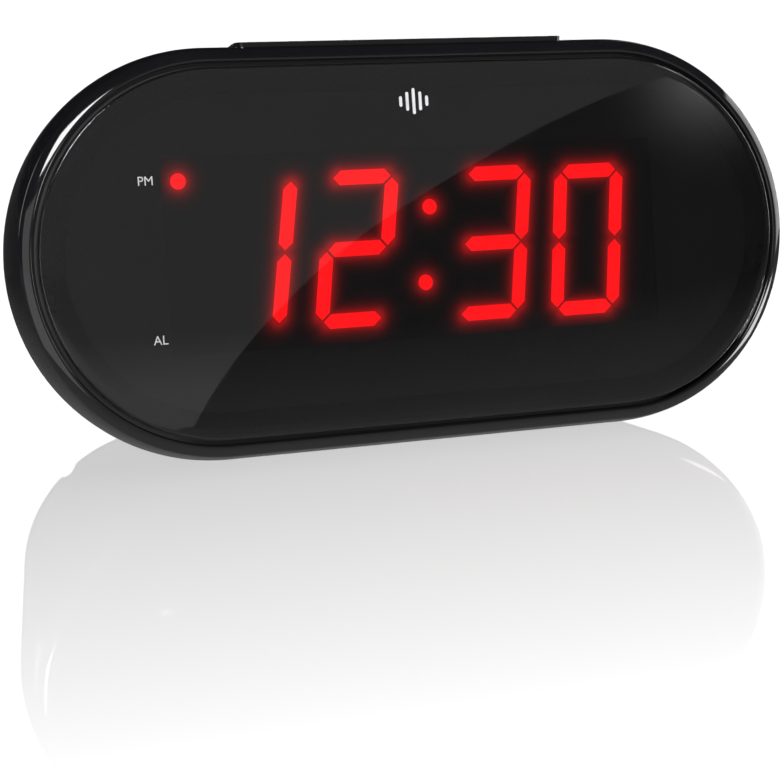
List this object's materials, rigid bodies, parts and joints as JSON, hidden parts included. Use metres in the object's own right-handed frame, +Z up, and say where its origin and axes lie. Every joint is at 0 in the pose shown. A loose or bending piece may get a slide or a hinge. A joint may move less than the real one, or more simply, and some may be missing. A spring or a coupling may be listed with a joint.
{
  "type": "clock radio",
  "caption": "Pill-shaped tabletop clock radio leaning back, with a smoked lens over a red digit display, a snooze bar, keys, thumbwheels and a rear speaker.",
  "frame": {"origin": "centre of the object's box, on the surface it stands on", "axes": "+Z up, -Y out of the front towards the viewer, +X to the right seen from the front"},
  "size_m": [0.1614, 0.0688, 0.0794],
  "materials": {
    "front_gloss": "high-gloss black moulded ABS",
    "rear_gloss": "gloss black moulded ABS",
    "smoked_lens": "polished smoked acrylic",
    "adhesive": "black double-sided foam tape",
    "display_black": "matt black moulded reflector housing",
    "lit_red": "red diffusing resin, lit",
    "unlit_red": "dark red diffusing resin, unlit",
    "board_green": "solder-masked circuit board",
    "steel": "zinc-plated steel",
    "rubber": "moulded black rubber",
    "key_black": "satin black moulded ABS",
    "chip_black": "moulded epoxy",
    "capacitor_blue": "shrunk plastic sleeve",
    "plated_metal": "pressed plated metal",
    "beige_plastic": "natural nylon",
    "brown_phenolic": "phenolic board and body",
    "speaker_steel": "pressed steel basket",
    "magnet_grey": "sintered ferrite",
    "cone_paper": "doped paper cone",
    "surround_foam": "rubber edge",
    "speaker_cloth": "open-weave black cloth",
    "ferrite": "sintered ferrite rod",
    "copper": "enamelled copper wire",
    "cable_grey": "ribbon cable insulation"
  },
  "bodies": {
    "cabinet": {"front_bezel": "front_gloss", "lens": "smoked_lens", "lens_adhesive_ring": "adhesive", "display_housing": "display_black", "lit_segments": "lit_red", "unlit_segments": "unlit_red", "colon_dots": "lit_red", "pm_lamp": "lit_red", "alarm_lamp": "unlit_red", "display_board": "board_green", "display_screws": "steel", "rear_housing": "rear_gloss", "housing_screws": "steel", "rubber_feet": "rubber", "key_board": "board_green", "key_switches": "chip_black", "snooze_switch": "chip_black", "main_board": "brown_phenolic", "clock_chip": "chip_black", "tuner_chip": "chip_black", "amplifier_chip": "chip_black", "capacitors": "capacitor_blue", "coil_cans": "plated_metal", "volume_potentiometer": "brown_phenolic", "tuning_capacitor": "beige_plastic", "function_switch": "plated_metal", "band_switch": "plated_metal", "back_board": "brown_phenolic", "dc_jack": "chip_black", "speaker_frame": "speaker_steel", "speaker_magnet": "magnet_grey", "speaker_cone": "cone_paper", "speaker_dust_cap": "cone_paper", "speaker_surround": "surround_foam", "speaker_screws": "steel", "speaker_cloth": "speaker_cloth", "battery_box": "key_black", "battery_springs": "steel", "battery_plates": "steel", "ferrite_rod": "ferrite", "antenna_coil": "copper", "rod_cradles": "beige_plastic", "ribbon_cable": "cable_grey"},
    "snooze_bar": {"snooze_bar": "front_gloss"},
    "hour_key": {"hour_key": "key_black"},
    "minute_key": {"minute_key": "key_black"},
    "time_key": {"time_key": "key_black"},
    "alarm_key": {"alarm_key": "key_black"},
    "sleep_key": {"sleep_key": "key_black"},
    "volume_wheel": {"volume_wheel": "key_black"},
    "tuning_wheel": {"tuning_wheel": "key_black"},
    "function_slider": {"function_slider": "key_black"},
    "band_slider": {"band_slider": "key_black"},
    "battery_door": {"battery_door": "key_black"}
  },
  "joints": [
    {"name": "snooze_press", "type": "slide", "parent": "cabinet", "child": "snooze_bar", "axis": [0, -0.1736, -0.9848], "range_m": [0, 0.0008], "stiffness_N_per_m": 2500, "springref_m": -0.0003},
    {"name": "hour_press", "type": "slide", "parent": "cabinet", "child": "hour_key", "axis": [0, -0.1736, -0.9848], "range_m": [0, 0.0005], "stiffness_N_per_m": 2500, "springref_m": -0.0003},
    {"name": "minute_press", "type": "slide", "parent": "cabinet", "child": "minute_key", "axis": [0, -0.1736, -0.9848], "range_m": [0, 0.0005], "stiffness_N_per_m": 2500, "springref_m": -0.0003},
    {"name": "time_press", "type": "slide", "parent": "cabinet", "child": "time_key", "axis": [0, -0.1736, -0.9848], "range_m": [0, 0.0005], "stiffness_N_per_m": 2500, "springref_m": -0.0003},
    {"name": "alarm_press", "type": "slide", "parent": "cabinet", "child": "alarm_key", "axis": [0, -0.1736, -0.9848], "range_m": [0, 0.0005], "stiffness_N_per_m": 2500, "springref_m": -0.0003},
    {"name": "sleep_press", "type": "slide", "parent": "cabinet", "child": "sleep_key", "axis": [0, -0.1736, -0.9848], "range_m": [0, 0.0005], "stiffness_N_per_m": 2500, "springref_m": -0.0003},
    {"name": "volume_turn", "type": "hinge", "parent": "cabinet", "child": "volume_wheel", "pos_m": [0.06899, -0.00322, 0.0464], "axis": [0, 0.9848, -0.1736], "range_deg": [-140, 140]},
    {"name": "tuning_turn", "type": "hinge", "parent": "cabinet", "child": "tuning_wheel", "pos_m": [0.06899, -0.00649, 0.02785], "axis": [0, 0.9848, -0.1736], "range_deg": [-90, 90]},
    {"name": "function_slide", "type": "slide", "parent": "cabinet", "child": "function_slider", "axis": [1, 0, 0], "range_m": [-0.003, 0.003]},
    {"name": "band_slide", "type": "slide", "parent": "cabinet", "child": "band_slider", "axis": [1, 0, 0], "range_m": [-0.003, 0.003]},
    {"name": "battery_door_slide", "type": "slide", "parent": "cabinet", "child": "battery_door", "axis": [0, 1, 0], "range_m": [0, 0.036]}
  ]
}
